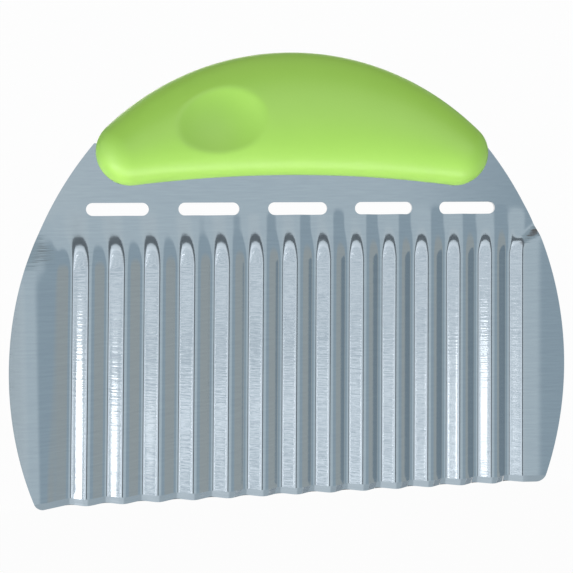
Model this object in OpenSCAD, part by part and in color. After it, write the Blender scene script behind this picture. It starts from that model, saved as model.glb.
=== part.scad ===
// Crinkle cutter: a corrugated steel blade held between the two shells of a moulded handle.
// X runs along the cutting edge, Y from front to back, Z up. The cutting edge lies on Z = 0.

/* [Blade] */
// Thickness of the steel sheet
sheet_t = 0.8; // [0.6:0.1:1]
// Width of the blade at its widest point
blade_w = 140; // [134:1:146]
// Height of the widest point above the cutting edge
widest_z = 31; // [27:1:35]
// Radius of the two curved sides
side_r = 87.5; // [82:0.5:94]
// Radius of the two lower corners
corner_r = 2.5; // [1.5:0.1:3.5]
// Height of the blade from the cutting edge to the middle of the handle's lower edge
blade_h = 80; // [78:0.5:84]

/* [Corrugation] */
// Number of waves across the blade
wave_count = 14; // [10:1:14]
// Distance from one crest to the next
wave_pitch = 8.57; // [7.8:0.01:8.8]
// Depth from crest to trough, at the middle of the sheet
wave_depth = 2; // [1.6:0.1:2.2]
// Radius of the bends, at the middle of the sheet
bend_r = 2.1; // [1.6:0.1:2.2]
// Length of the waves above the cutting edge
wave_len = 61; // [56:0.5:63]
// Length over which the waves fade into the flat web
fade_len = 7; // [4:0.5:8]
// Radius of the soft bend into the left wing, at the middle of the sheet
left_wing_r = 14; // [4:0.5:16]
// Radius of the soft bend into the right wing, at the middle of the sheet
right_wing_r = 6.5; // [4:0.5:16]

/* [Cutting edge] */
// Height of the bevel ground on the front face
bevel_h = 1.8; // [1:0.1:3]
// Thickness left at the edge itself
edge_t = 0.15; // [0.1:0.05:0.3]

/* [Slots] */
// Number of slots in the web
slot_count = 5; // [3:2:5]
// Distance from one slot to the next
slot_pitch = 22.05; // [20:0.05:24]
// Length of a slot, end to end
slot_len = 14.9; // [12:0.1:17]
// Width of a slot
slot_w = 3.1; // [2.5:0.1:4]
// Distance from the middle of the handle's lower edge down to the slots
slot_drop = 8; // [6:0.5:9]

/* [Handle] */
// Length of the handle, end to end
handle_len = 98; // [94:1:102]
// Height of the handle at its middle
handle_h = 30; // [27:0.5:33]
// Radius of its round ends
end_r = 8; // [7:0.1:9]
// Height of the centre of the round ends above the middle of the lower edge
end_rise = 5.4; // [4.5:0.1:6]
// Depth of the handle, front to back
handle_depth = 18; // [16:0.5:22]
// Fullness of its cross-section, where 2 is an ellipse
section_power = 2.2; // [2:0.1:3]
// Wall of the shells
wall = 2.4; // [2:0.1:3]

/* [Thumb dish] */
// Place of the dish along the handle
dish_x = -19.2; // [-24:0.1:-16]
// Radius of the hollow
dish_r = 23.5; // [20:0.5:30]
// Depth of the hollow below the crown of the handle
dish_depth = 2.5; // [1.5:0.1:3]

/* [Fixing inside the handle] */
// Distance from the handle's outline to the edge of the tang
tang_inset = 4; // [3.5:0.1:5]
// Height above the centre of the round ends at which the blade's shoulders step in to the tang
shoulder_rise = 2.1; // [0.5:0.1:3]
// Clearance around the edge of the tang
tang_gap = 0.2; // [0.1:0.05:0.3]
// Number of pegs through the tang
peg_count = 4; // [2:2:4]
// Distance between the outer pegs
peg_span = 72; // [66:1:74]
// Height of the pegs above the centre of the round ends
peg_rise = 4; // [2:0.5:5]
// Diameter of a peg
peg_d = 4; // [3:0.1:4.5]
// Length of a peg beyond the tang
peg_len = 3; // [2:0.1:4]
// Wall around a peg's socket
boss_wall = 1.6; // [1.2:0.1:2]
// Clearance around a peg, a peg's end and the lip
fit_gap = 0.1; // [0.05:0.05:0.2]
// Thickness of the ribs that back the tang
rib_t = 1.6; // [1.2:0.1:2]
// Height of the lip on the front shell's rim
lip_h = 0.8; // [0.5:0.1:1.2]
// Thickness of the lip
lip_t = 0.7; // [0.5:0.1:0.9]

/* [Hidden] */
steel = [0.66, 0.70, 0.73];
lime = [0.63, 0.82, 0.38];
$fn = 64;
fine_fn = 180;

// Power below 1 that draws out the upper end of the fade
fade_power = 0.7;
// Segments in half a bend and in a wing's bend, rows in the fade, points on the handle's arcs, rings on its side
bend_steps = 2;
wing_steps = 5;
fade_steps = 7;
end_steps = 10;
long_steps = 24;
outer_rings = 8;
inner_rings = 5;
rib_steps = 12;
// Depth to which the lip is rooted in the rim
lip_root = 0.5;
// Size of a block that reaches past the whole part, and the overlap of a cutter past a face
reach = 300;
past = 1;

web_z = wave_len + fade_len;
slot_z = blade_h - slot_drop;
side_x = side_r - blade_w / 2;

// Slope of the flat flanks between two bends, from the pitch, the depth and the bend radius
flank_run = wave_pitch / 2;
flank_rest = 2 * bend_r - wave_depth;
flank_angle = atan2(flank_run, flank_rest) - acos(2 * bend_r / norm([flank_run, flank_rest]));

// Arcs of the handle's outline: the top arc runs into the ends, the lower arc springs from them
end_x = handle_len / 2 - end_r;
end_z = blade_h + end_rise;
handle_top = blade_h + handle_h;
top_c = ((handle_top - end_r) ^ 2 - end_x ^ 2 - end_z ^ 2) / (2 * (handle_top - end_r - end_z));
top_r = handle_top - top_c;
low_r = (end_x ^ 2 + end_rise ^ 2 - end_r ^ 2) / (2 * (end_r - end_rise));
low_c = blade_h - low_r;
top_angle = atan2(end_z - top_c, end_x);
low_angle = atan2(end_z - low_c, end_x);
spine_rise = handle_h / 2 - end_rise;

half_depth = handle_depth / 2;
shoulder_z = end_z + shoulder_rise;
dish_z = end_z + spine_rise * (1 - (dish_x / end_x) ^ 2);
dish_y = dish_depth - half_depth - dish_r;
boss_d = peg_d + 2 * fit_gap + 2 * boss_wall;
peg_z = end_z + peg_rise;
peg_step = peg_span / (peg_count - 1);
peg_places = [for (i = [0:peg_count - 1]) [i * peg_step - peg_span / 2, peg_z]];
rib_places = [for (i = [0:peg_count - 2]) (i + 0.5) * peg_step - peg_span / 2];

// Stand a flat shape up in the XZ plane, with its thickness along Y
module upright(thickness) {
    rotate([90, 0, 0])
        linear_extrude(height = thickness, center = true)
            children();
}

// Bore or pin along Y, from one depth to another
module across(diameter, from_y, to_y) {
    translate([0, to_y, 0])
        rotate([90, 0, 0])
            cylinder(d = diameter, h = to_y - from_y);
}

// Two triangles of a four-sided face whose corners run anticlockwise seen from outside
function quad(a, b, c, d) = [[c, b, a], [d, c, a]];

// One wave from crest to crest: place, depth and slope of the middle of the sheet
function crest_bend(a) = [bend_r * sin(a), bend_r * (1 - cos(a)) - wave_depth / 2, tan(a)];
function trough_bend(a) = [wave_pitch / 2 - bend_r * sin(a), wave_depth / 2 - bend_r * (1 - cos(a)), tan(a)];
function mirrored(p) = [wave_pitch - p[0], p[1], -p[2]];
bend_angles = [for (i = [0:bend_steps]) flank_angle * i / bend_steps];
falling = concat(
    [for (i = [0:bend_steps]) crest_bend(bend_angles[i])],
    [for (i = [bend_steps:-1:0]) trough_bend(bend_angles[i])]
);
rising = [for (i = [len(falling) - 2:-1:1]) mirrored(falling[i])];
wave = concat(falling, rising);

// A wing: from past the blade's side, flat at first, then in a soft bend down into the outermost flank
field_x = wave_count * wave_pitch / 2;
flank_start = crest_bend(flank_angle);
function wing_bend(r, a) =
    [flank_start[0] - r * (sin(flank_angle) - sin(a)), flank_start[1] - r * (cos(a) - cos(flank_angle)), tan(a)];
function wing(r) =
    let (level = wing_bend(r, 0), side = max(blade_w / 2 - field_x, -level[0]) + past)
    concat([[-side, level[1], 0]], [for (i = [0:wing_steps]) wing_bend(r, flank_angle * i / wing_steps)]);

// The whole cross-section: a wing, the waves between the outermost two flanks, and the other wing
function between_wings(k, i) =
    (k > 0 || i > bend_steps) && (k < wave_count - 1 || i < len(wave) - bend_steps);
left_wing = wing(left_wing_r);
right_wing = wing(right_wing_r);
section = concat(
    [for (p = left_wing) [p[0] - field_x, p[1], p[2]]],
    [for (k = [0:wave_count - 1], i = [0:len(wave) - 1]) if (between_wings(k, i))
        [wave[i][0] + k * wave_pitch - field_x, wave[i][1], wave[i][2]]],
    [for (i = [len(right_wing) - 1:-1:0]) let (p = right_wing[i]) [field_x - p[0], p[1], -p[2]]]
);

// Rows up the sheet: height, share of the wave's depth, and the front face's distance from the middle
function ease(t) = t * t * (3 - 2 * t);
rows = concat(
    [[0, 1, edge_t - sheet_t / 2], [bevel_h, 1, sheet_t / 2]],
    [for (i = [0:fade_steps]) let (t = i / fade_steps)
        [wave_len + fade_len * t, 1 - ease(t ^ fade_power), sheet_t / 2]]
);
function sheet_point(p, row, side) =
    let (a = atan(row[1] * p[2]))
    [p[0] + side * sin(a), row[1] * p[1] - side * cos(a), row[0]];

// Pressed sheet with its waves, fade and ground edge, before its outline is cut
module pressed_sheet() {
    n = len(section);
    m = len(rows);
    front = [for (row = rows, p = section) sheet_point(p, row, row[2])];
    back = [for (row = rows, p = section) sheet_point(p, row, -sheet_t / 2)];
    b = n * m;
    top = (m - 1) * n;
    end = n - 1;
    faces = concat(
        [for (j = [0:m - 2], i = [0:n - 2]) let (k = j * n + i) each quad(k, k + 1, k + n + 1, k + n)],
        [for (j = [0:m - 2], i = [0:n - 2]) let (k = b + j * n + i) each quad(k, k + n, k + n + 1, k + 1)],
        [for (i = [0:n - 2]) each quad(i, b + i, b + i + 1, i + 1)],
        [for (i = [top:top + n - 2]) each quad(i, i + 1, b + i + 1, b + i)],
        [for (k = [0:n:top - n]) each quad(k, k + n, b + k + n, b + k)],
        [for (k = [end:n:top - 1]) each quad(k, b + k, b + k + n, k + n)]
    );
    polyhedron(points = concat(front, back), faces = faces);
}

// Outline of the handle drawn in by an inset: each entry is an outline point and its point on the spine
function around(c, r, a) = c + r * [cos(a), sin(a)];
function spine(t) = [end_x * t, end_z + spine_rise * (1 - t * t)];
function handle_points(inset) =
    let (right = [end_x, end_z], left = [-end_x, end_z], turn = top_angle + 180 - low_angle)
    concat(
        [for (i = [0:end_steps - 1])
            [around(right, end_r - inset, low_angle - 180 + turn * i / end_steps), right]],
        [for (i = [0:long_steps - 1])
            [around([0, top_c], top_r - inset, top_angle + (180 - 2 * top_angle) * i / long_steps),
             spine(1 - 2 * i / long_steps)]],
        [for (i = [0:end_steps - 1])
            [around(left, end_r - inset, 180 - top_angle + turn * i / end_steps), left]],
        [for (i = [0:long_steps - 1])
            [around([0, low_c], low_r + inset, 180 - low_angle - (180 - 2 * low_angle) * i / long_steps),
             spine(2 * i / long_steps - 1)]]
    );

module handle_plan(inset) {
    polygon([for (p = handle_points(inset)) p[0]]);
}

// Depth of the handle's front at a place between its round ends, drawn in by an inset
function skin_depth(x, z, inset) =
    let (high = top_c + sqrt((top_r - inset) ^ 2 - x ^ 2), low = low_c + sqrt((low_r + inset) ^ 2 - x ^ 2))
    let (u = min(1, abs(2 * z - high - low) / (high - low)))
    (half_depth - inset) * (1 - u ^ section_power) ^ (1 / section_power);

// Front of the handle drawn in by an inset: rings from the rim to the spine, then the spine itself
function over_dish(p, inset) =
    let (r = dish_r + inset, flat = norm([p[0] - dish_x, p[2] - dish_z]))
    flat < r ? max(p[1], dish_y + sqrt(r ^ 2 - flat ^ 2)) : p[1];
function front_point(q, depth, inset, dished) =
    let (p = [q[0], -depth, q[1]])
    dished ? [p[0], over_dish(p, inset), p[2]] : p;
function front_points(inset, steps, dished) =
    concat(
        [for (j = [0:steps - 1], p = handle_points(inset))
            let (a = 90 * j / steps, e = 2 / section_power)
            front_point(p[1] + (p[0] - p[1]) * cos(a) ^ e, (half_depth - inset) * sin(a) ^ e, inset, dished)],
        [for (i = [0:long_steps])
            front_point(spine(1 - 2 * i / long_steps), half_depth - inset, inset, dished)]
    );

// Faces of such a front, from a first point on
ring_n = 2 * (end_steps + long_steps);
function front_faces(first, steps) =
    let (last = first + (steps - 1) * ring_n, ridge = last + ring_n, left = end_steps + long_steps)
    concat(
        [for (j = [0:steps - 2], i = [0:ring_n - 1])
            let (k = first + j * ring_n, h = (i + 1) % ring_n)
            each quad(k + i, k + h, k + ring_n + h, k + ring_n + i)],
        [for (i = [0:end_steps - 1]) [ridge, last + i + 1, last + i]],
        [for (i = [0:long_steps - 1])
            each quad(last + end_steps + i, last + end_steps + i + 1, ridge + i + 1, ridge + i)],
        [for (i = [left:left + end_steps - 1]) [ridge + long_steps, last + i + 1, last + i]],
        [for (i = [0:long_steps - 1])
            let (k = left + end_steps + i)
            each quad(last + k, last + (k + 1) % ring_n, ridge + long_steps - i - 1, ridge + long_steps - i)]
    );
function turned(faces) = [for (f = faces) [f[2], f[1], f[0]]];

// Hollow front half of the handle as one closed wall, whose inside follows the dish if there is one
module handle_wall(dished) {
    outer = front_points(0, outer_rings, false);
    inner = front_points(wall, inner_rings, dished);
    n = len(outer);
    rim = [for (i = [0:ring_n - 1]) let (h = (i + 1) % ring_n) each quad(i, n + i, n + h, h)];
    polyhedron(
        points = concat(outer, inner),
        faces = concat(front_faces(0, outer_rings), turned(front_faces(n, inner_rings)), rim)
    );
}

// Everything between the blade's two curved sides, grown by a clearance
module between_sides(grow) {
    intersection() {
        translate([-side_x, widest_z]) circle(r = side_r + grow, $fn = fine_fn);
        translate([side_x, widest_z]) circle(r = side_r + grow, $fn = fine_fn);
    }
}

// Everything below a height
module below(z) {
    translate([-reach / 2, z - reach]) square(reach);
}

// Outline of the blade and its tang, which covers its bosses, grown by a clearance
module blade_plan(grow) {
    intersection() {
        between_sides(grow);
        union() {
            below(shoulder_z + grow);
            handle_plan(tang_inset - grow);
        }
    }
    for (p = peg_places)
        translate(p) circle(d = boss_d + 2 * grow);
}

// Waste outside a round lower corner of the blade
module corner_waste() {
    inner = side_r - corner_r;
    corner_x = sqrt(inner ^ 2 - (widest_z - corner_r) ^ 2) - side_x;
    c = [corner_x, corner_r];
    out = (c - [-side_x, widest_z]) / inner;
    far = 3 * corner_r;
    difference() {
        polygon([c, [corner_x, -past], [corner_x + far, -past], c + far * out]);
        translate(c) circle(r = corner_r);
    }
}

module slot_plan() {
    straight = slot_len - slot_w;
    square([straight, slot_w], center = true);
    for (s = [-0.5, 0.5])
        translate([s * straight, 0]) circle(d = slot_w);
}

module slot_row() {
    for (i = [0:slot_count - 1])
        translate([(i - (slot_count - 1) / 2) * slot_pitch, slot_z]) slot_plan();
}

// Flat upper part of the blade, with its slots and the holes of the tang
module web() {
    upright(sheet_t)
        difference() {
            blade_plan(0);
            below(web_z);
            slot_row();
            for (p = peg_places)
                translate(p) circle(d = peg_d + 2 * fit_gap);
        }
}

// Corrugated part of the blade, cut to its outline and by any slot that reaches it
module corrugated_field() {
    intersection() {
        pressed_sheet();
        upright(handle_depth)
            difference() {
                between_sides(0);
                corner_waste();
                mirror([1, 0]) corner_waste();
                slot_row();
            }
    }
}

module blade() {
    color(steel) {
        web();
        corrugated_field();
    }
}

// Rib across the inside of the front half, rooted in its wall and ending at the tang
module rib(x) {
    high = top_c + sqrt((top_r - wall / 2) ^ 2 - x ^ 2);
    low = low_c + sqrt((low_r + wall / 2) ^ 2 - x ^ 2);
    profile = [for (i = [0:rib_steps]) let (z = low + (high - low) * i / rib_steps)
        [-max(sheet_t / 2, skin_depth(x, z, wall / 2)), z]];
    translate([x - rib_t / 2, 0, 0])
        rotate([90, 0, 90])
            linear_extrude(height = rib_t)
                polygon(concat(profile, [[-sheet_t / 2, high], [-sheet_t / 2, low]]));
}

// Ribs and bosses that carry the tang in the front half
module tang_supports() {
    for (x = rib_places)
        rib(x);
    for (p = peg_places) {
        side = abs(p[1] - spine(p[0] / end_x)[1]) + boss_d / 2;
        root = skin_depth(p[0], spine(p[0] / end_x)[1] + side, wall / 2);
        translate([p[0], 0, p[1]]) across(boss_d, -root, -sheet_t / 2);
    }
}

// Room for the blade between the two shells
module blade_room() {
    upright(sheet_t) blade_plan(tang_gap);
}

// Lip on the rim of the front shell, or its groove when grown, left out where the blade passes
module lip(grow) {
    inset = (wall - lip_t) / 2;
    difference() {
        translate([0, (lip_h + grow - lip_root) / 2, 0])
            upright(lip_h + grow + lip_root)
                difference() {
                    handle_plan(inset - grow);
                    handle_plan(inset + lip_t + grow);
                }
        upright(handle_depth) blade_plan(tang_gap + lip_t - grow);
    }
}

module handle_front_shell() {
    color(lime) {
        difference() {
            union() {
                handle_wall(true);
                tang_supports();
                lip(0);
            }
            translate([dish_x, dish_y, dish_z]) sphere(r = dish_r, $fn = fine_fn);
            blade_room();
        }
        for (p = peg_places)
            translate([p[0], 0, p[1]]) across(peg_d, -sheet_t, sheet_t / 2 + peg_len);
    }
}

module handle_rear_shell() {
    color(lime)
        difference() {
            mirror([0, 1, 0]) {
                handle_wall(false);
                tang_supports();
            }
            for (p = peg_places)
                translate([p[0], 0, p[1]])
                    across(peg_d + 2 * fit_gap, -past, sheet_t / 2 + peg_len + fit_gap);
            lip(fit_gap);
            blade_room();
        }
}

blade();
handle_front_shell();
handle_rear_shell();
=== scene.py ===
"""Looks of a crinkle cutter: a pressed steel blade held between the two shells of a lime handle.

Sizes are in millimetres, as a maker would give them, and become metres where an object is made.
"""
import math

import bpy
import numpy as np
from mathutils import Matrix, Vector
from mathutils.geometry import delaunay_2d_cdt


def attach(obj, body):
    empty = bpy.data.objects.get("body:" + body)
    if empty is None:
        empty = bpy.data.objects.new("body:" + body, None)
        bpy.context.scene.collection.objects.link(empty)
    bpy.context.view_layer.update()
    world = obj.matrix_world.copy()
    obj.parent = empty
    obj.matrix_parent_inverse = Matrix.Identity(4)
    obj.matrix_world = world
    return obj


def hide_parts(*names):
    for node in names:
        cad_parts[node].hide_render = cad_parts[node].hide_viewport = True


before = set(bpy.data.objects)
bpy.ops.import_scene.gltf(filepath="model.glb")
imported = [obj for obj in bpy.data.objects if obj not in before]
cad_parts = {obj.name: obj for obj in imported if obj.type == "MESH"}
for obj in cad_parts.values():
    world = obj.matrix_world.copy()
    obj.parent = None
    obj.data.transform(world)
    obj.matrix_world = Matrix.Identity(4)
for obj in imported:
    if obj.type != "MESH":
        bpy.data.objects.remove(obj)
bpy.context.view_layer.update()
MM = 0.001

# Blade: sheet, outline, waves, ground edge, slots and tang
SHEET_T = 0.8
BLADE_W = 140.0
WIDEST_Z = 31.0
SIDE_R = 87.5
CORNER_R = 2.5
BLADE_H = 80.0
WAVE_COUNT = 14
WAVE_PITCH = 8.57
WAVE_DEPTH = 2.0
BEND_R = 2.1
WAVE_LEN = 58.5
WAVE_TILT = 0.025
FADE_LEN = 9.5
FADE_POWER = 0.7
BEVEL_H = 1.8
EDGE_T = 0.15
SLOT_COUNT = 5
SLOT_PITCH = 22.05
SLOT_LEN = 14.9
SLOT_W = 3.1
SLOT_Z = BLADE_H - 8.3
HOLE_D = 4.2
HOLE_PLACES = [(-36.0, 89.4), (-12.0, 89.4), (12.0, 89.4), (36.0, 89.4)]
TANG_INSET = 4.0
SHOULDER_Z = 87.5

# Wings of the blade: their bends, and the heights over which they fade into the web
LEFT_WING_R = 14.0
LEFT_WING_START = 53.0
LEFT_WING_LEN = 18.0
RIGHT_WING_R = 18.6
RIGHT_WING_ANGLE = math.radians(14)
RIGHT_WING_START = 60.7
RIGHT_WING_RISE = 3.0
RIGHT_WING_LEN = 4.8

# Ripple above the waves, and how the waves lean at their foot
TAIL_DEPTH = 0.45
TAIL_START = 69.0
TAIL_LEN = 4.0
TAIL_SHARE = 0.41
TAIL_LEFT_SHARE = 0.15
FOOT_SHIFT = -0.4
FOOT_SPREAD = -0.86
LEAN = 0.032

# Spans across the outermost bends, in half depths of a wave, and the wing that stays upright, in sheets
RISE_SPAN = (-2.0, 4.0)
LAST_WAVE_SPAN = (-4.5, -2.0)
LEFT_WING_SPAN = (-3.0, 0.5)
UPRIGHT_WING = 4.5

# Handle: outline, section, wall and thumb dish
HANDLE_LEN = 98.0
HANDLE_H = 30.0
END_R = 8.0
END_RISE = 5.4
HALF_DEPTH = 9.0
SECTION_POWER = 2.2
WALL = 2.4
DISH_X = -19.2
DISH_R = 23.5
DISH_DEPTH = 2.5
DISH_DROP = 1.4
DISH_BLEND = 0.5
PART_GROOVE = 0.18
BLADE_ROOM = SHEET_T / 2 + 0.02
BLADE_SIDE_ROOM = 0.2

# What follows from those sizes
FIELD_X = WAVE_COUNT * WAVE_PITCH / 2
FADE_Z = WAVE_LEN - WAVE_TILT * FIELD_X
WEB_Z = WAVE_LEN + WAVE_TILT * FIELD_X + FADE_LEN
WEB_TOP = SLOT_Z + SLOT_W
SIDE_X = SIDE_R - BLADE_W / 2
RUN = WAVE_PITCH / 2
REST = 2 * BEND_R - WAVE_DEPTH
FLANK = math.atan2(RUN, REST) - math.acos(2 * BEND_R / math.hypot(RUN, REST))
END_X = HANDLE_LEN / 2 - END_R
END_Z = BLADE_H + END_RISE
HANDLE_TOP = BLADE_H + HANDLE_H
TOP_C = ((HANDLE_TOP - END_R) ** 2 - END_X ** 2 - END_Z ** 2) / (2 * (HANDLE_TOP - END_R - END_Z))
TOP_R = HANDLE_TOP - TOP_C
LOW_R = (END_X ** 2 + END_RISE ** 2 - END_R ** 2) / (2 * (END_R - END_RISE))
LOW_C = BLADE_H - LOW_R
TOP_ANGLE = math.atan2(END_Z - TOP_C, END_X)
LOW_ANGLE = math.atan2(END_Z - LOW_C, END_X)
SPINE_RISE = HANDLE_H / 2 - END_RISE
DISH_Z = END_Z + SPINE_RISE * (1 - (DISH_X / END_X) ** 2) - DISH_DROP
DISH_Y = DISH_DEPTH - HALF_DEPTH - DISH_R

# How finely the blade's blank is divided: points along its curves, and rows and columns in its sheet
BEND_STEPS = 8
FLANK_STEPS = 5
CORNER_STEPS = 10
SIDE_STEPS = 90
TANG_END_STEPS = 6
TANG_TOP_STEPS = 30
SLOT_END_STEPS = 15
SLOT_SIDE_STEPS = 22
HOLE_STEPS = 25
EDGE_ROWS = [0.45, 0.9, 1.35, BEVEL_H, 2.4, 3.2, 4.4]
FIRST_ROW = 6
ROW_STEP = 2.8
FADE_ROWS = 41
WEB_ROWS = 14
TANG_STEP = 2.4
LAST_ROW = 106
WING_COLUMNS = np.arange(60.5, 69.6, 0.7)
TANG_COLUMN_STEP = 7
SIDE_ROOM = 0.35
RIM_ROOM = 0.28
RIM_SEARCH = 2
BLADE_CREASE = 15

# How finely the handle is divided
END_STEPS = 28
LONG_STEPS = 140
RING_N = 2 * (END_STEPS + LONG_STEPS)
OUTER_RINGS = 46
INNER_RINGS = 8
SHELL_CREASE = 32

# What the press is given by name: lengths, then angles, slopes and shares
PRESS_LENGTHS = {
    "Wave pitch": WAVE_PITCH, "Wave depth": WAVE_DEPTH, "Bend radius": BEND_R, "Field half width": FIELD_X,
    "Wave length": WAVE_LEN, "Fade length": FADE_LEN, "Foot shift": FOOT_SHIFT, "Foot spread": FOOT_SPREAD,
    "Left wing radius": LEFT_WING_R, "Left wing start": LEFT_WING_START, "Left wing length": LEFT_WING_LEN,
    "Right wing radius": RIGHT_WING_R, "Right wing start": RIGHT_WING_START,
    "Right wing rise": RIGHT_WING_RISE, "Right wing length": RIGHT_WING_LEN,
    "Tail depth": TAIL_DEPTH, "Tail start": TAIL_START, "Tail length": TAIL_LEN,
    "Sheet thickness": SHEET_T, "Bevel height": BEVEL_H, "Edge thickness": EDGE_T}
PRESS_NUMBERS = {
    "Flank angle": FLANK, "Left wing angle": FLANK, "Right wing angle": RIGHT_WING_ANGLE,
    "Wave tilt": WAVE_TILT, "Lean": LEAN, "Fade power": FADE_POWER, "Tail share": TAIL_SHARE,
    "Tail left share": TAIL_LEFT_SHARE}

# Paper sweep: its backdrop, the curve into the floor, and the table edge that it hangs over
SWEEP_HALF_W = 1500.0
SWEEP_BACK = 900.0
SWEEP_TOP = 1200.0
SWEEP_R = 300.0
TABLE_FRONT = 1.0
TABLE_EDGE_R = 1.0
SWEEP_HEM = -500.0
PAPER_GLOW = 0.975

# Colours of the room, as linear light
LEFT_WALL_FOOT = (1.14, 1.26, 1.36, 1)
LEFT_WALL = (0.87, 0.97, 1.05, 1)
FRONT_WALL_LEFT = (0.6, 0.7, 0.76, 1)
FRONT_WALL_RIGHT = (0.54, 0.65, 0.72, 1)
RIGHT_WALL = (0.36, 0.465, 0.54, 1)
FAR_RIGHT_WALL = (0.415, 0.47, 0.485, 1)
LEFT_WALL_HEAD = (0.42, 0.45, 0.48, 1)
OTHER_WALLS_HEAD = (0.37, 0.47, 0.53, 1)
CEILING = (0.17, 0.17, 0.17, 1)
FLOOR_LEFT = (0.66, 0.76, 0.83, 1)
FLOOR_RIGHT = (0.45, 0.54, 0.6, 1)

# Upright cards: name, shade, the (x, y) of both ends, lowest and highest z
CARDS = (
    ("front_card", "#9EA0A2", ((-1150.0, -3000.0), (-500.0, -3000.0)), (-2000.0, 2500.0)),
    ("table_edge_card", "#E0E2E4", ((-80.0, 0.9), (80.0, 0.9)), (-200.0, -0.3)),
    ("left_rear_card", "#D2D4D6", ((-88.0, 16.0), (-88.0, 170.0)), (0.5, 160.0)),
    ("right_rear_card", "#E6E8EA", ((88.0, 16.0), (88.0, 170.0)), (0.5, 160.0)))

# Blind on the left
SLAT_COUNT = 9
SLAT_H = 180.0
SLAT_LOW = -2100.0
SLAT_X = -2200.0
SLAT_ENDS = (-3400.0, -500.0)
SLAT_LIGHT = (0.58, 0.68, 0.76, 1)

# Softboxes: name, place, aim, width and height, radiance, colour
BLADE_LAMPS = (
    ("left_round_softbox", (-900, -252, -180), (-50, 0, 25), (175, 330), 3.8, "#FFFFFF"),
    ("left_slim_softbox", (-583, -619, -142), (49, 0, 22), (14, 200), 3.2, "#FFFFFF"))
HANDLE_LAMPS = (
    ("low_front_softbox", (-40, -24, -110), (-40, -8, 85), (420, 40), 8.0, "#FFF2FF"),
    ("low_left_softbox", (-245, -60, -117), (-47, -4, 83), (120, 120), 6.5, "#FFF2FF"),
    ("front_softbox", (300, -1050, 420), (0, 0, 90), (1100, 900), 1.82, "#FFF4E4"),
    ("top_softbox", (60, -200, 900), (0, 0, 100), (800, 800), 0.45, "#FFF8EC"),
    ("back_softbox", (0, 700, 260), (0, 0, 90), (900, 500), 2.6, "#FFF8EC"))

# Camera of the photograph, fitted to the cutter's outline
CAMERA_PLACE = (-42.18, -232.28, 63.08)
CAMERA_TURN = (87.389, 0.631, -9.602)
CAMERA_LENS = 59.43
CAMERA_SENSOR = 36.0
CAMERA_REACH = (10.0, 20000.0)


def paint(code):
    """Linear colour of an sRGB hex value."""
    parts = [int(code[i:i + 2], 16) / 255 for i in (1, 3, 5)]
    return tuple(c / 12.92 if c <= 0.04045 else ((c + 0.055) / 1.055) ** 2.4 for c in parts) + (1.0,)


def put(tree, kind, inputs=None, **settings):
    """Add a node with its settings, and set or link its inputs."""
    node = tree.nodes.new(kind)
    for name, value in settings.items():
        setattr(node, name, value)
    for key, value in (inputs or {}).items():
        if isinstance(value, bpy.types.NodeSocket):
            tree.links.new(value, node.inputs[key])
        else:
            node.inputs[key].default_value = value
    return node


def calc(tree, operation, a, b=0.0, c=0.0):
    return put(tree, "ShaderNodeMath", {0: a, 1: b, 2: c}, operation=operation).outputs[0]


def ramp(tree, value, start, end, low=0.0, high=1.0, kind="LINEAR"):
    """Node that carries a value from one range to another and holds it at the ends."""
    ends = {"Value": value, "From Min": start, "From Max": end, "To Min": low, "To Max": high}
    return put(tree, "ShaderNodeMapRange", ends, interpolation_type=kind).outputs[0]


def mix_colours(tree, share, first, second):
    return put(tree, "ShaderNodeMix", {0: share, 6: first, 7: second}, data_type="RGBA").outputs[2]


def new_object(name, points, faces):
    """Object at the origin with its mesh given in millimetres."""
    mesh = bpy.data.meshes.new(name)
    mesh.from_pydata(np.asarray(points, float) * MM, [], faces)
    mesh.validate()
    piece = bpy.data.objects.new(name, mesh)
    bpy.context.scene.collection.objects.link(piece)
    return piece


def smooth(mesh, crease_degrees):
    """Smooth shading that stays crisp where two faces meet at more than an angle."""
    mesh.shade_smooth()
    mesh.set_sharp_from_angle(angle=math.radians(crease_degrees))


# Flat blank of the blade

def arc(centre, radius, start, end, count):
    """Points on an arc in a plane, both ends included, angles in radians."""
    turns = np.linspace(start, end, count)
    return [(centre[0] + radius * math.cos(a), centre[1] + radius * math.sin(a)) for a in turns]


def half_width(z):
    return math.sqrt(SIDE_R ** 2 - (z - WIDEST_Z) ** 2) - SIDE_X


def wave_columns():
    """Places across the blade for lines of points: dense in the bends, sparse on the flanks."""
    bend = [BEND_R * math.sin(a) for a in np.linspace(0, FLANK, BEND_STEPS)]
    flank = list(np.linspace(bend[-1], RUN - bend[-1], FLANK_STEPS)[1:-1])
    half = bend + flank + [RUN - b for b in reversed(bend)]
    wave = half + [WAVE_PITCH - u for u in reversed(half[1:-1])]
    columns = [k * WAVE_PITCH - FIELD_X + u for k in range(WAVE_COUNT) for u in wave]
    return columns + [FIELD_X]


def blade_rows():
    """Heights at which the sheet gets a row of points: dense at the ground edge and in the fade."""
    straight = list(np.arange(FIRST_ROW, FADE_Z - 0.5, ROW_STEP))
    fade = list(np.linspace(FADE_Z, WEB_Z, FADE_ROWS))
    web = list(np.linspace(WEB_Z, WEB_TOP, WEB_ROWS)[1:])
    tang = list(np.arange(WEB_TOP + TANG_STEP / 2, LAST_ROW, TANG_STEP))
    return EDGE_ROWS + straight + fade + web + tang


def slot_loop(x):
    run = (SLOT_LEN - SLOT_W) / 2
    right = arc((x + run, SLOT_Z), SLOT_W / 2, -math.pi / 2, math.pi / 2, SLOT_END_STEPS)
    left = arc((x - run, SLOT_Z), SLOT_W / 2, math.pi / 2, 3 * math.pi / 2, SLOT_END_STEPS)
    between = np.linspace(run, -run, SLOT_SIDE_STEPS)[1:-1]
    upper = [(x + u, SLOT_Z + SLOT_W / 2) for u in between]
    lower = [(x - u, SLOT_Z - SLOT_W / 2) for u in between]
    return right + upper + left + lower


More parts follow.
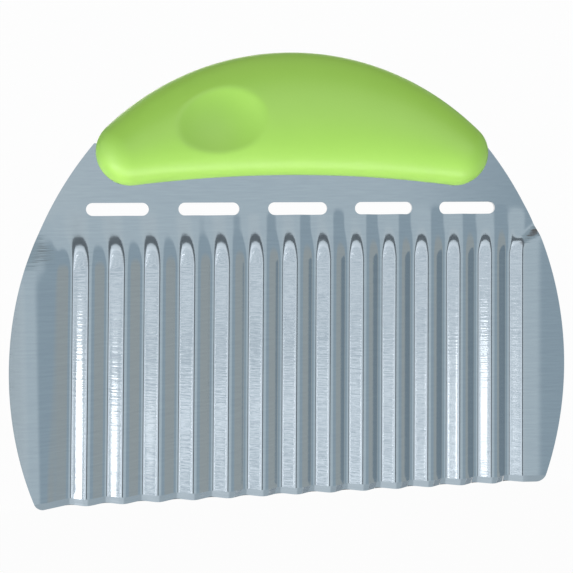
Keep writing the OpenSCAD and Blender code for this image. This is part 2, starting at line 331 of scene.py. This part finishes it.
def blade_outline(columns):
    """Loop round the blade and its tang, anticlockwise seen from the front."""
    inner = SIDE_R - CORNER_R
    corner_x = math.sqrt(inner ** 2 - (WIDEST_Z - CORNER_R) ** 2) - SIDE_X
    leave = math.atan2(CORNER_R - WIDEST_Z, corner_x + SIDE_X)
    shoulder = math.asin((SHOULDER_Z - WIDEST_Z) / SIDE_R)
    end_r = END_R - TANG_INSET
    step_in = math.asin((SHOULDER_Z - END_Z) / end_r)
    right = arc((corner_x, CORNER_R), CORNER_R, -math.pi / 2, leave, CORNER_STEPS)
    right += arc((-SIDE_X, WIDEST_Z), SIDE_R, leave, shoulder, SIDE_STEPS)[1:]
    right += arc((END_X, END_Z), end_r, step_in, TOP_ANGLE, TANG_END_STEPS)
    right += arc((0, TOP_C), TOP_R - TANG_INSET, TOP_ANGLE, math.pi / 2, TANG_TOP_STEPS)[1:]
    left = [(-x, z) for x, z in reversed(right[:-1])]
    return [(x, 0.0) for x in columns] + right + left


def within_loops(places, rim, edges):
    """Which places lie inside the outline and outside its openings, by counting crossings."""
    inside = np.zeros(len(places), bool)
    for a, b in edges:
        (ax, az), (bx, bz) = rim[a], rim[b]
        if az == bz:
            continue
        spans = (az > places[:, 1]) != (bz > places[:, 1])
        cross = ax + (places[:, 1] - az) * (bx - ax) / (bz - az)
        inside ^= spans & (places[:, 0] < cross)
    return inside


def flat_blank():
    """Points and triangles of the blade before it is pressed, all in one plane."""
    columns = wave_columns()
    wings = [s * x for s in (-1, 1) for x in WING_COLUMNS]
    loops = [blade_outline(columns)]
    loops += [slot_loop((i - (SLOT_COUNT - 1) / 2) * SLOT_PITCH) for i in range(SLOT_COUNT)]
    loops += [arc(p, HOLE_D / 2, 0, 2 * math.pi, HOLE_STEPS)[:-1] for p in HOLE_PLACES]
    points = []
    edges = []
    for loop in loops:
        first = len(points)
        points += loop
        edges += [(first + i, first + (i + 1) % len(loop)) for i in range(len(loop))]
    rim = np.array(points)
    for z in blade_rows():
        near = rim[np.abs(rim[:, 1] - z) < RIM_SEARCH]
        for x in columns + wings if z < WEB_TOP + 1 else columns[::TANG_COLUMN_STEP] + wings:
            if abs(x) > half_width(z) - SIDE_ROOM:
                continue
            if len(near) == 0 or np.hypot(near[:, 0] - x, near[:, 1] - z).min() > RIM_ROOM:
                points.append((x, z))
    flat = [Vector(p) for p in points]
    places, _, faces, _, _, _ = delaunay_2d_cdt(flat, edges, [], 0, 1e-5)
    places = np.array([(p.x, p.y) for p in places])
    faces = np.array(faces)
    faces = faces[within_loops(places[faces].mean(1), rim, edges)]
    corners = places[faces]
    turn = np.cross(corners[:, 1] - corners[:, 0], corners[:, 2] - corners[:, 0])
    faces[turn < 0] = faces[turn < 0][:, ::-1]
    return np.insert(places, 1, 0, axis=1), faces[np.abs(turn) > 1e-7]


# Rule that presses the waves, gives the sheet its thickness and grinds its edge

class BladePress:
    """Geometry nodes that turn the flat blank into the pressed and ground sheet, and their named inputs."""

    def __init__(self, steel):
        self.tree = bpy.data.node_groups.new("press_and_grind_blade", "GeometryNodeTree")
        self.sockets = {}
        self.add_socket("Blank", "INPUT", "NodeSocketGeometry")
        for name in (*PRESS_LENGTHS, *PRESS_NUMBERS):
            self.add_socket(name, "INPUT", "NodeSocketFloat")
        self.add_socket("Blade", "OUTPUT", "NodeSocketGeometry")
        self.given = self.put("NodeGroupInput").outputs
        place = self.put("GeometryNodeInputPosition").outputs[0]
        self.x, _, self.z = self.put("ShaderNodeSeparateXYZ", {0: place}).outputs
        self.field = self.given["Field half width"]
        self.left_end = self.times(self.field, -1.0)
        self.radius = self.given["Bend radius"]
        self.half_wave = self.times(self.given["Wave depth"], 0.5)
        sheet = self.thick_sheet(self.pressed_sheet())
        whole = self.put("GeometryNodeRealizeInstances", {"Geometry": sheet}).outputs[0]
        dressed = self.put("GeometryNodeSetMaterial", {"Geometry": whole, "Material": steel}).outputs[0]
        self.put("NodeGroupOutput", {0: dressed})

    def add_socket(self, name, way, kind):
        self.sockets[name] = self.tree.interface.new_socket(name=name, in_out=way, socket_type=kind)

    def put(self, kind, inputs=None, **settings):
        return put(self.tree, kind, inputs, **settings)

    def calc(self, operation, a, b=0.0, c=0.0):
        return calc(self.tree, operation, a, b, c)

    def plus(self, a, b):
        return self.calc("ADD", a, b)

    def minus(self, a, b):
        return self.calc("SUBTRACT", a, b)

    def times(self, a, b):
        return self.calc("MULTIPLY", a, b)

    def times_plus(self, a, b, c):
        return self.calc("MULTIPLY_ADD", a, b, c)

    def below(self, a, b):
        test = self.put("FunctionNodeCompare", {0: a, 1: b}, data_type="FLOAT", operation="LESS_THAN")
        return test.outputs[0]

    def pick(self, test, yes, no):
        return self.put("GeometryNodeSwitch", {0: test, 1: no, 2: yes}, input_type="FLOAT").outputs[0]

    def eased(self, value, start, end, low, high):
        return ramp(self.tree, value, start, end, low, high, "SMOOTHSTEP")

    def eased_across(self, edge, span, low, high):
        """Ease from left to right over a span near an edge."""
        start, end = [self.times_plus(self.half_wave, halves, edge) for halves in span]
        return self.eased(self.x, start, end, low, high)

    def fading(self, start, length, power=1.0):
        """One up to a start height, then softly down to nothing over a length."""
        risen = ramp(self.tree, self.z, start, self.plus(start, length))
        return self.eased(self.calc("POWER", risen, power), 0.0, 1.0, 1.0, 0.0)

    def between(self, first, second, share):
        return self.times_plus(self.minus(second, first), share, first)

    def bend_drop(self, run):
        """How far a bend of the sheet has dropped at a distance from its top."""
        inside = self.minus(self.times(self.radius, self.radius), self.times(run, run))
        return self.minus(self.radius, self.calc("SQRT", self.calc("MAXIMUM", inside, 0.0)))

    def zigzag(self, along):
        """Depth of the whole waves: rounded crests and troughs with straight flanks between them."""
        angle = self.given["Flank angle"]
        half_pitch = self.times(self.given["Wave pitch"], 0.5)
        from_crest = self.calc("PINGPONG", along, half_pitch)
        from_trough = self.minus(half_pitch, from_crest)
        crest = self.minus(self.bend_drop(from_crest), self.half_wave)
        trough = self.minus(self.half_wave, self.bend_drop(from_trough))
        bend_run = self.times(self.radius, self.calc("SINE", angle))
        middle = self.minus(from_crest, self.times(half_pitch, 0.5))
        flank = self.times(middle, self.calc("TANGENT", angle))
        after_crest = self.pick(self.below(from_trough, bend_run), trough, flank)
        return self.pick(self.below(from_crest, bend_run), crest, after_crest)

    def wing(self, sign, bend, angle, wave):
        """What a wing adds to the wave: it leaves the outermost crest at an angle in a softer bend.

        That bend carries the wing forward of the crests.
        """
        leave = self.times(self.radius, self.calc("SINE", angle))
        beyond = self.minus(self.times(self.x, sign), self.minus(self.field, leave))
        sine = self.minus(self.calc("SINE", angle), self.calc("DIVIDE", beyond, bend))
        sine = self.calc("MAXIMUM", sine, 0.0)
        cosine = self.calc("SQRT", self.minus(1.0, self.times(sine, sine)))
        cosine = self.minus(cosine, self.calc("COSINE", angle))
        left_at = self.minus(self.bend_drop(leave), self.half_wave)
        depth = self.minus(left_at, self.times(bend, cosine))
        return self.pick(self.below(beyond, 0.0), 0.0, self.minus(depth, wave))

    def ripple(self, turns):
        """Shallow, lopsided ripple that runs out above the waves towards the slots, weaker on the left."""
        share = self.given["Tail share"]
        phase = self.calc("FRACT", turns)
        falling = self.eased(phase, 0.0, share, -0.5, 0.5)
        rising = self.eased(phase, share, 1.0, 0.0, -1.0)
        growing = ramp(self.tree, self.x, self.left_end, 0.0, self.given["Tail left share"], 1.0)
        depth = self.times(self.plus(falling, rising), self.given["Tail depth"])
        depth = self.times(depth, growing)
        return self.times(depth, self.fading(self.given["Tail start"], self.given["Tail length"]))

    def depth(self):
        """How far each point of the sheet is pressed out of the plane of the blank."""
        given = self.given
        within = self.calc("MINIMUM", self.calc("MAXIMUM", self.x, self.left_end), self.field)
        along = self.plus(within, self.field)
        turns = self.calc("DIVIDE", along, given["Wave pitch"])
        wave = self.zigzag(along)
        # The waves end a little higher towards the right
        flank_top = self.times_plus(self.x, given["Wave tilt"], given["Wave length"])
        share = self.fading(flank_top, given["Fade length"], given["Fade power"])
        # The last half wave ends with the right wing, in a steep drop that rises towards the edge
        right_top = self.eased_across(self.field, RISE_SPAN, 0.0, given["Right wing rise"])
        right_top = self.plus(right_top, given["Right wing start"])
        right_share = self.fading(right_top, given["Right wing length"])
        last_wave = self.eased_across(self.field, LAST_WAVE_SPAN, 0.0, 1.0)
        share = self.between(share, right_share, last_wave)
        # The left wing fades as a whole, over a longer height than the waves
        left_share = self.fading(given["Left wing start"], given["Left wing length"])
        left_wing = self.eased_across(self.left_end, LEFT_WING_SPAN, 1.0, 0.0)
        share = self.between(share, left_share, left_wing)
        # As they fade, the waves round off into soft ones
        rest = self.minus(1.0, share)
        soft = self.calc("COSINE", self.times(turns, 2 * math.pi))
        soft = self.times(self.times(soft, self.half_wave), -1.0)
        fading_wave = self.plus(self.times(wave, share), self.times(soft, rest))
        depth = self.plus(self.times(fading_wave, share), self.times(self.ripple(turns), rest))
        left = self.wing(-1.0, given["Left wing radius"], given["Left wing angle"], wave)
        right = self.wing(1.0, given["Right wing radius"], given["Right wing angle"], wave)
        return self.plus(depth, self.plus(self.times(left, left_share), self.times(right, right_share)))

    def lean(self):
        """How far each point slides sideways: the waves lean left at their foot, most on that side."""
        given = self.given
        from_right = self.calc("DIVIDE", self.minus(self.field, self.x), self.times(self.field, 2.0))
        slope = self.times_plus(self.z, given["Lean"], given["Foot spread"])
        shift = self.times_plus(from_right, slope, given["Foot shift"])
        wing_start = self.minus(self.field, given["Sheet thickness"])
        wing_end = self.times_plus(given["Sheet thickness"], UPRIGHT_WING, self.field)
        shift = self.times(shift, self.eased(self.calc("ABSOLUTE", self.x), wing_start, wing_end, 1.0, 0.0))
        return self.times(shift, self.fading(given["Wave length"], given["Fade length"]))

    def pressed_sheet(self):
        """Middle of the sheet, as it lies between the two faces."""
        place = {0: self.plus(self.x, self.lean()), 1: self.depth(), 2: self.z}
        place = self.put("ShaderNodeCombineXYZ", place).outputs[0]
        moved = {"Geometry": self.given["Blank"], "Position": place}
        return self.put("GeometryNodeSetPosition", moved).outputs[0]

    def along_normal(self, outward, distance):
        return self.put("ShaderNodeVectorMath", {0: outward, 3: distance}, operation="SCALE").outputs[0]

    def thick_sheet(self, middle_sheet):
        """Both faces set off from the middle of the sheet along its normals, the edge ground in front."""
        given = self.given
        normal = self.put("GeometryNodeInputNormal").outputs[0]
        noted = self.put("GeometryNodeStoreNamedAttribute",
                         {"Geometry": middle_sheet, "Name": "sheet_normal", "Value": normal},
                         data_type="FLOAT_VECTOR", domain="POINT").outputs[0]
        outward = self.put("GeometryNodeInputNamedAttribute", {"Name": "sheet_normal"},
                           data_type="FLOAT_VECTOR").outputs[0]
        to_back = self.along_normal(outward, self.times(given["Sheet thickness"], -0.5))
        back = self.put("GeometryNodeSetPosition", {"Geometry": noted, "Offset": to_back}).outputs[0]
        grown = self.put("GeometryNodeExtrudeMesh",
                         {"Mesh": back, "Offset Scale": 0.0, "Individual": False}, mode="FACES").outputs
        thickness = ramp(self.tree, self.z, 0.0, given["Bevel height"],
                         given["Edge thickness"], given["Sheet thickness"])
        front = self.put("GeometryNodeSetPosition",
                         {"Geometry": grown["Mesh"], "Selection": grown["Top"],
                          "Offset": self.along_normal(outward, thickness)}).outputs[0]
        turned_back = self.put("GeometryNodeFlipFaces", {"Mesh": back}).outputs[0]
        both = self.put("GeometryNodeJoinGeometry", {"Geometry": front})
        self.tree.links.new(turned_back, both.inputs[0])
        closed = self.put("GeometryNodeMergeByDistance",
                          {"Geometry": both.outputs[0], "Distance": 1e-6}).outputs[0]
        return self.put("GeometryNodeRemoveAttribute",
                        {"Geometry": closed, "Name": "sheet_normal"}).outputs[0]


def make_blade(steel):
    points, faces = flat_blank()
    blank = new_object("blade_sheet", points, faces.tolist())
    rule = BladePress(steel)
    press = blank.modifiers.new("press", "NODES")
    press.node_group = rule.tree
    for name, size in PRESS_LENGTHS.items():
        press[rule.sockets[name].identifier] = size * MM
    for name, number in PRESS_NUMBERS.items():
        press[rule.sockets[name].identifier] = number
    ready = blank.evaluated_get(bpy.context.evaluated_depsgraph_get())
    pressed = bpy.data.meshes.new_from_object(ready)
    blank.modifiers.remove(press)
    blank.data = pressed
    pressed.name = "blade_sheet"
    smooth(pressed, BLADE_CREASE)
    return blank


# Handle shells

def handle_outline(inset):
    """Points round the handle drawn in by an inset, the spine's point for each, and the whole spine."""
    turn = TOP_ANGLE + math.pi - LOW_ANGLE
    plan = []
    spine = []

    def along(t):
        return END_X * t, END_Z + SPINE_RISE * (1 - t * t)

    for i in range(END_STEPS):
        a = LOW_ANGLE - math.pi + turn * i / END_STEPS
        plan.append((END_X + (END_R - inset) * math.cos(a), END_Z + (END_R - inset) * math.sin(a)))
        spine.append((END_X, END_Z))
    for i in range(LONG_STEPS):
        a = TOP_ANGLE + (math.pi - 2 * TOP_ANGLE) * i / LONG_STEPS
        plan.append(((TOP_R - inset) * math.cos(a), TOP_C + (TOP_R - inset) * math.sin(a)))
        spine.append(along(1 - 2 * i / LONG_STEPS))
    for i in range(END_STEPS):
        a = math.pi - TOP_ANGLE + turn * i / END_STEPS
        plan.append((-END_X + (END_R - inset) * math.cos(a), END_Z + (END_R - inset) * math.sin(a)))
        spine.append((-END_X, END_Z))
    for i in range(LONG_STEPS):
        a = math.pi - LOW_ANGLE - (math.pi - 2 * LOW_ANGLE) * i / LONG_STEPS
        plan.append(((LOW_R + inset) * math.cos(a), LOW_C + (LOW_R + inset) * math.sin(a)))
        spine.append(along(2 * i / LONG_STEPS - 1))
    ridge = [along(1 - 2 * i / LONG_STEPS) for i in range(LONG_STEPS + 1)]
    return np.array(plan), np.array(spine), np.array(ridge)


def rim_depth(plan):
    """Depth of the parting face: it steps back from the middle plane where the blade passes."""
    reach = np.array([half_width(min(z, SIDE_R + WIDEST_Z)) for z in plan[:, 1]])
    passed = (plan[:, 1] < SHOULDER_Z) & (np.abs(plan[:, 0]) < reach + BLADE_SIDE_ROOM)
    return np.where(passed, BLADE_ROOM, 0.0)


def skin(inset, rings, rim):
    """Front skin of the handle drawn in by an inset: rings from the rim to the spine, then the spine."""
    plan, spine, ridge = handle_outline(inset)
    power = 2 / SECTION_POWER
    layers = []
    for j in range(rings):
        a = math.pi / 2 * j / rings
        flat = spine + (plan - spine) * math.cos(a) ** power
        depth = np.maximum(rim, (HALF_DEPTH - inset) * math.sin(a) ** power)
        layers.append(np.column_stack([flat[:, 0], -depth, flat[:, 1]]))
    crown = np.full(len(ridge), HALF_DEPTH - inset)
    return layers, np.column_stack([ridge[:, 0], -crown, ridge[:, 1]])


def dish(points, inset):
    """Press the thumb dish, with a softly rounded rim."""
    radius = DISH_R + inset
    away = np.hypot(points[:, 0] - DISH_X, points[:, 2] - DISH_Z)
    hollow = DISH_Y + np.sqrt(np.maximum(radius ** 2 - away ** 2, 0.0))
    hollow = np.where(away < radius, hollow, -1e3)
    gap = np.clip(0.5 + 0.5 * (points[:, 1] - hollow) / DISH_BLEND, 0, 1)
    blended = hollow + (points[:, 1] - hollow) * gap + DISH_BLEND * gap * (1 - gap)
    return np.column_stack([points[:, 0], blended, points[:, 2]])


def skin_faces(first, rings):
    """Faces of such a skin, seen from the front."""
    last = first + (rings - 1) * RING_N
    ridge = last + RING_N
    left = END_STEPS + LONG_STEPS
    faces = []
    for j in range(rings - 1):
        k = first + j * RING_N
        for i in range(RING_N):
            after = (i + 1) % RING_N
            faces.append((k + i, k + after, k + RING_N + after, k + RING_N + i))
    for i in range(END_STEPS):
        faces.append((last + i, last + i + 1, ridge))
        faces.append((last + left + i, last + left + i + 1, ridge + LONG_STEPS))
    for i in range(LONG_STEPS):
        k = END_STEPS + i
        faces.append((last + k, last + k + 1, ridge + i + 1, ridge + i))
        k = left + END_STEPS + i
        back_along = ridge + LONG_STEPS - i
        faces.append((last + k, last + (k + 1) % RING_N, back_along - 1, back_along))
    return faces


def make_shell(name, front, plastic):
    """One shell of the handle as a closed wall: outer skin, inner skin and the parting face."""
    rim = rim_depth(handle_outline(0)[0])
    outer, crown = skin(0, OUTER_RINGS, rim + PART_GROOVE)
    inner, inner_crown = skin(WALL, INNER_RINGS, rim)
    drawn_in = handle_outline(PART_GROOVE)[0]
    groove = np.column_stack([drawn_in[:, 0], -rim, drawn_in[:, 1]])
    outer = np.vstack([groove] + outer + [crown])
    inner = np.vstack(inner + [inner_crown])
    if front:
        outer = dish(outer, 0)
        inner = dish(inner, WALL)
    n = len(outer)
    faces = skin_faces(0, OUTER_RINGS + 1)
    faces += [tuple(reversed(f)) for f in skin_faces(n, INNER_RINGS)]
    faces += [(i, n + i, n + (i + 1) % RING_N, (i + 1) % RING_N) for i in range(RING_N)]
    points = np.vstack([outer, inner])
    if not front:
        points[:, 1] *= -1
        faces = [tuple(reversed(f)) for f in faces]
    shell = new_object(name, points, faces)
    smooth(shell.data, SHELL_CREASE)
    shell.data.materials.append(plastic)
    return shell


# Finishes

def new_material(name):
    material = bpy.data.materials.new(name)
    material.use_nodes = True
    tree = material.node_tree
    tree.nodes.clear()
    return material, tree


def noise(tree, place, scale):
    inputs = {"Vector": place, "Scale": scale, "Detail": 2.0, "Roughness": 0.5}
    return put(tree, "ShaderNodeTexNoise", inputs).outputs[0]


def brushed_stainless():
    """Stainless strip, brushed along the blade: a soft mirror that drags reflections into level lines."""
    line, length, bump_depth = 0.5 * MM, 6.0 * MM, 0.03 * MM
    faint, strong = 0.3, 0.7
    material, tree = new_material("brushed_stainless_steel")
    place = put(tree, "ShaderNodeTexCoord").outputs["Object"]
    stretch = (1 / length, 1 / length, 1 / line)
    along = put(tree, "ShaderNodeMapping", {"Vector": place, "Scale": stretch}).outputs[0]
    lines = noise(tree, along, 1.0)
    bump = put(tree, "ShaderNodeBump", {"Height": lines, "Strength": 1.0, "Distance": bump_depth})
    tone = mix_colours(tree, ramp(tree, lines, faint, strong), paint("#CBCED1"), paint("#D1D4D6"))
    rough = ramp(tree, lines, faint, strong, 0.09, 0.11)
    shader = put(tree, "ShaderNodeBsdfPrincipled",
                 {"Base Color": tone, "Metallic": 1.0, "Roughness": rough, "Normal": bump.outputs[0]})
    put(tree, "ShaderNodeOutputMaterial", {"Surface": shader.outputs[0]})
    return material


def satin_lime():
    """Polypropylene from a lightly eroded mould: an even lime colour, a satin and faintly grained skin."""
    grain_size, cloud_size, bump_depth = 0.45 * MM, 14 * MM, 0.03 * MM
    material, tree = new_material("satin_lime_polypropylene")
    place = put(tree, "ShaderNodeTexCoord").outputs["Object"]
    grain = noise(tree, place, 1 / grain_size)
    cloud = noise(tree, place, 1 / cloud_size)
    tone = mix_colours(tree, cloud, paint("#A3D556"), paint("#A8D95C"))
    bump = put(tree, "ShaderNodeBump", {"Height": grain, "Strength": 0.5, "Distance": bump_depth})
    rough = ramp(tree, grain, 0.0, 1.0, 0.36, 0.46)
    shader = put(tree, "ShaderNodeBsdfPrincipled",
                 {"Base Color": tone, "Roughness": rough, "IOR": 1.49, "Specular IOR Level": 0.5,
                  "Normal": bump.outputs[0]})
    put(tree, "ShaderNodeOutputMaterial", {"Surface": shader.outputs[0]})
    return material


def white_paper():
    """Matt paper of the sweep: it shows as white, and still takes the cutter's shadow."""
    material, tree = new_material("matt_white_paper")
    ray = put(tree, "ShaderNodeLightPath").outputs
    seen = calc(tree, "MAXIMUM", ray["Is Camera Ray"], ray["Is Glossy Ray"])
    seen = calc(tree, "MAXIMUM", seen, ray["Is Transmission Ray"])
    matt = put(tree, "ShaderNodeBsdfDiffuse", {"Color": paint("#F4F4F4")})
    glow = put(tree, "ShaderNodeEmission", {"Color": (1, 1, 1, 1), "Strength": 1.0})
    amount = calc(tree, "MULTIPLY", seen, PAPER_GLOW)
    mix = put(tree, "ShaderNodeMixShader", {0: amount, 1: matt.outputs[0], 2: glow.outputs[0]})
    put(tree, "ShaderNodeOutputMaterial", {"Surface": mix.outputs[0]})
    return material


def grey_card(name, code):
    """Matt card in a shade of grey."""
    material, tree = new_material(name)
    matt = put(tree, "ShaderNodeBsdfDiffuse", {"Color": paint(code)})
    put(tree, "ShaderNodeOutputMaterial", {"Surface": matt.outputs[0]})
    return material


# Stage, light and camera

def make_sweep():
    """Paper sweep: a backdrop that runs into the floor and hangs over the front edge of the table."""
    profile = [(SWEEP_BACK, SWEEP_TOP)]
    profile += arc((SWEEP_BACK - SWEEP_R, SWEEP_R), SWEEP_R, 0, -math.pi / 2, 13)
    profile += arc((TABLE_FRONT + TABLE_EDGE_R, -TABLE_EDGE_R), TABLE_EDGE_R, math.pi / 2, math.pi, 9)
    profile += [(TABLE_FRONT, SWEEP_HEM)]
    points = [(x, y, z) for x in (-SWEEP_HALF_W, SWEEP_HALF_W) for y, z in profile]
    n = len(profile)
    faces = [(i, i + 1, n + i + 1, n + i) for i in range(n - 1)]
    sweep = new_object("paper_sweep", points, faces)
    sweep.data.shade_smooth()
    sweep.data.materials.append(white_paper())


def add_lamp(name, place, aim, size, radiance, colour):
    """Oval softbox whose face has a given radiance, unseen by the camera itself."""
    light = bpy.data.lights.new(name, "AREA")
    light.shape = "ELLIPSE"
    light.size, light.size_y = size[0] * MM, size[1] * MM
    light.energy = radiance * math.pi * light.size * light.size_y * math.pi / 4
    light.color = paint(colour)[:3]
    lamp = bpy.data.objects.new(name, light)
    bpy.context.scene.collection.objects.link(lamp)
    lamp.location = Vector(place) * MM
    lamp.rotation_euler = (Vector(aim) - Vector(place)).to_track_quat("-Z", "Y").to_euler()
    lamp.visible_camera = False
    return lamp


def make_surroundings():
    """Room round the stage: a bright wall on the left, greyer ones elsewhere, a dark ceiling.

    Each blend goes from one colour to another as a direction turns to the right, upwards or downwards.
    """
    world = bpy.data.worlds.new("pale_studio")
    bpy.context.scene.world = world
    world.use_nodes = True
    tree = world.node_tree
    tree.nodes.clear()
    way = put(tree, "ShaderNodeTexCoord").outputs["Generated"]
    to_right, _, up = put(tree, "ShaderNodeSeparateXYZ", {0: way}).outputs

    def blend(axis, start, end, first, second):
        return mix_colours(tree, ramp(tree, axis, start, end, kind="SMOOTHSTEP"), first, second)

    left_wall = blend(up, -0.25, -0.02, LEFT_WALL_FOOT, LEFT_WALL)
    front_wall = blend(to_right, -0.12, 0.05, FRONT_WALL_LEFT, FRONT_WALL_RIGHT)
    walls = blend(to_right, -0.5, -0.29, left_wall, front_wall)
    walls = blend(to_right, 0.26, 0.42, walls, RIGHT_WALL)
    walls = blend(to_right, 0.75, 0.9, walls, FAR_RIGHT_WALL)
    left_side = blend(up, 0.15, 0.4, walls, LEFT_WALL_HEAD)
    other_sides = blend(up, 0.25, 0.42, walls, OTHER_WALLS_HEAD)
    room = blend(to_right, -0.3, -0.13, left_side, other_sides)
    high_ceiling = blend(up, 0.5, 0.6, room, CEILING)
    low_ceiling = blend(up, 0.34, 0.46, room, CEILING)
    room = blend(to_right, 0.1, 0.3, high_ceiling, low_ceiling)
    floor = blend(to_right, -0.2, 0.2, FLOOR_LEFT, FLOOR_RIGHT)
    room = blend(up, -0.5, -0.75, room, floor)
    glow = put(tree, "ShaderNodeBackground", {"Color": room, "Strength": 1.0})
    put(tree, "ShaderNodeOutputWorld", {"Surface": glow.outputs[0]})


def make_cards():
    """Cards that the steel mirrors: far off in front, at the table's edge, and on both sides behind."""
    for name, code, ends, heights in CARDS:
        card = new_object(name, [(x, y, z) for z in heights for x, y in ends], [(0, 1, 3, 2)])
        card.data.materials.append(grey_card("matt_" + name, code))
        card.visible_camera = False


def make_blind():
    """Level slats of a blind on the left: the brushed flanks show them as fine pale and grey streaks."""
    material, tree = new_material("lit_blind_slat")
    glow = put(tree, "ShaderNodeEmission", {"Color": SLAT_LIGHT, "Strength": 1.0})
    put(tree, "ShaderNodeOutputMaterial", {"Surface": glow.outputs[0]})
    points = []
    faces = []
    for i in range(SLAT_COUNT):
        bottom = SLAT_LOW + 2 * SLAT_H * i
        points += [(SLAT_X, y, z) for z in (bottom, bottom + SLAT_H) for y in SLAT_ENDS]
        faces.append((4 * i, 4 * i + 1, 4 * i + 3, 4 * i + 2))
    slats = new_object("blind_slats", points, faces)
    slats.data.materials.append(material)
    slats.visible_camera = False


def make_light(handle_pieces):
    make_surroundings()
    make_cards()
    make_blind()
    for lamp in BLADE_LAMPS:
        add_lamp(*lamp)
    on_handle = bpy.data.collections.new("lit_by_handle_lamps")
    for piece in handle_pieces:
        on_handle.objects.link(piece)
    for lamp in HANDLE_LAMPS:
        add_lamp(*lamp).light_linking.receiver_collection = on_handle


def make_camera():
    """Camera of the photograph: close, a little to the left and looking slightly down."""
    data = bpy.data.cameras.new("photo_camera")
    data.sensor_width = CAMERA_SENSOR
    data.lens = CAMERA_LENS
    data.clip_start, data.clip_end = [distance * MM for distance in CAMERA_REACH]
    camera = bpy.data.objects.new("photo_camera", data)
    bpy.context.scene.collection.objects.link(camera)
    camera.location = Vector(CAMERA_PLACE) * MM
    camera.rotation_euler = [math.radians(a) for a in CAMERA_TURN]
    bpy.context.scene.camera = camera


steel_finish = brushed_stainless()
lime_finish = satin_lime()
blade = make_blade(steel_finish)
front_shell = make_shell("handle_front", True, lime_finish)
rear_shell = make_shell("handle_rear", False, lime_finish)
for piece, node, slot in ((blade, "blade", "blade_steel"),
                          (front_shell, "handle_front_shell", "handle_plastic"),
                          (rear_shell, "handle_rear_shell", "handle_plastic")):
    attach(piece, "root")
    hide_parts(node)

make_sweep()
make_light((front_shell, rear_shell))
make_camera()
bpy.context.scene.view_settings.view_transform = "Standard"
